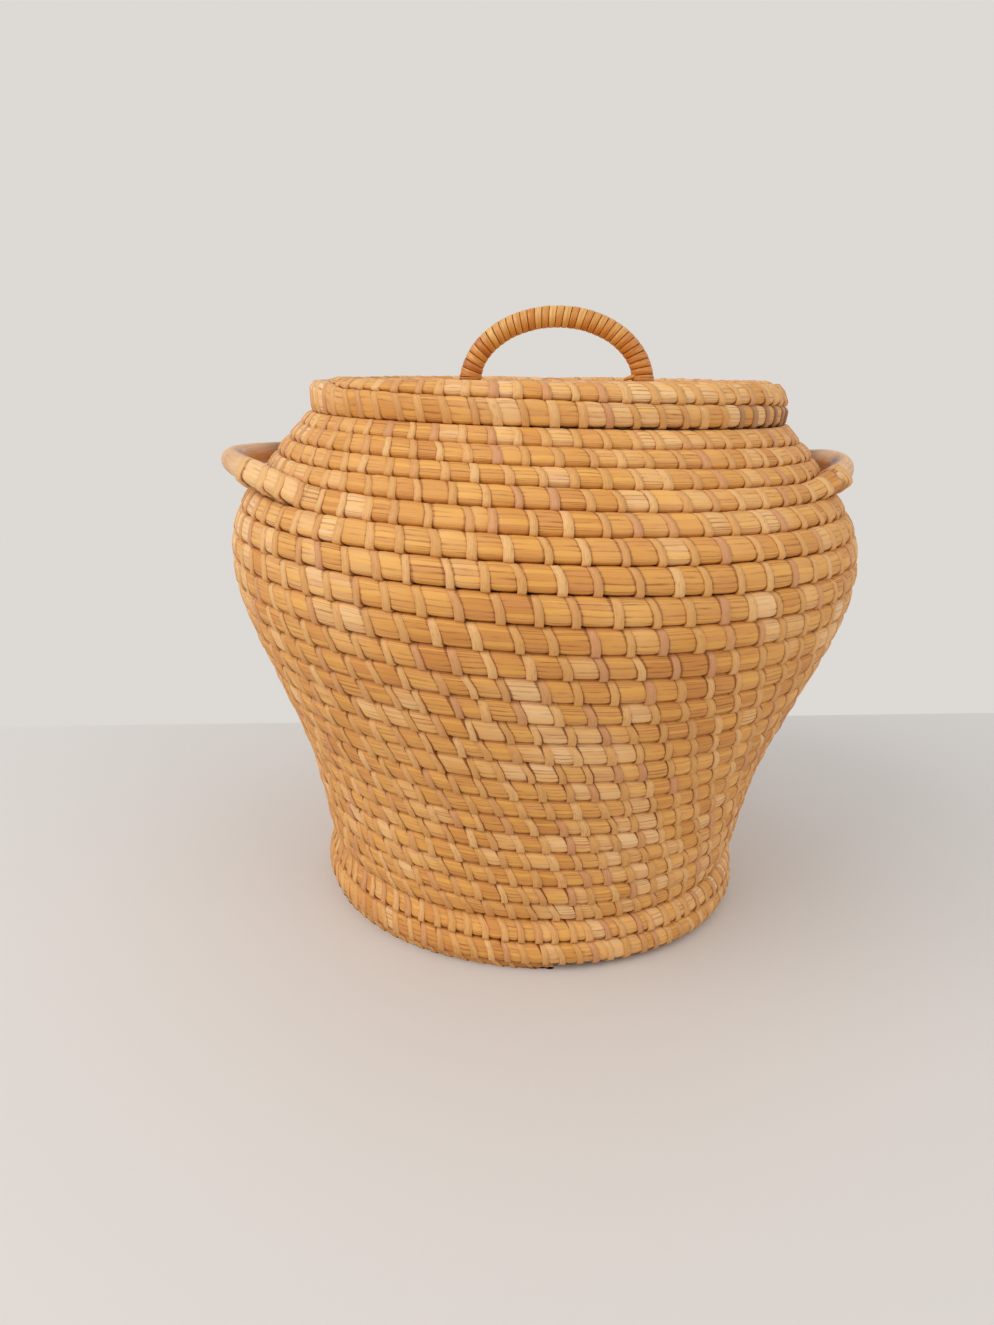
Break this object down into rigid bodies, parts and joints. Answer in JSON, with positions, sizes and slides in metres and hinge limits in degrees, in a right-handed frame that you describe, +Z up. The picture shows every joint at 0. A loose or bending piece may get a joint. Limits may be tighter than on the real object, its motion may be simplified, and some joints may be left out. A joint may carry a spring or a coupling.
{
  "type": "lidded basket",
  "caption": "Round coiled cane basket with a wide belly, a flared foot, side handle loops and a lift-off lid with a wrapped arch handle.",
  "frame": {"origin": "centre of the circle that the foot stands on, at floor level", "axes": "+Z up along the basket's axis, -Y the front, side handles at +X and -X"},
  "size_m": [0.4428, 0.4355, 0.4184],
  "materials": {
    "coil_cane": "split cane bundle sewn with flat cane, satin with dark gaps",
    "handle_pole": "peeled rattan pole, smooth satin",
    "handle_wrap": "flat cane wrap, honey brown, glossier",
    "handle_core": "plain bent rattan, matt"
  },
  "bodies": {
    "basket": {"foot_coil": "coil_cane", "waist_coil": "coil_cane", "flare_coil": "coil_cane", "belly_coil": "coil_cane", "handle_row_rear": "coil_cane", "shoulder_coil": "coil_cane", "side_handle_left": "handle_pole", "side_handle_right": "handle_pole", "row_behind_left_handle": "coil_cane", "row_behind_right_handle": "coil_cane", "base_disc": "coil_cane"},
    "lid": {"lid_rim_coil": "coil_cane", "lid_top_disc": "coil_cane", "lid_plug_ring": "coil_cane", "lid_handle_core": "handle_core", "lid_handle_wrap": "handle_wrap", "lid_handle_collar_left": "handle_wrap", "lid_handle_collar_right": "handle_wrap", "lid_handle_tie_left": "handle_wrap", "lid_handle_tie_right": "handle_wrap"}
  },
  "joints": [
    {"name": "lid_lift", "type": "slide", "parent": "basket", "child": "lid", "axis": [0, 0, 1], "range_m": [0, 0.15]}
  ]
}
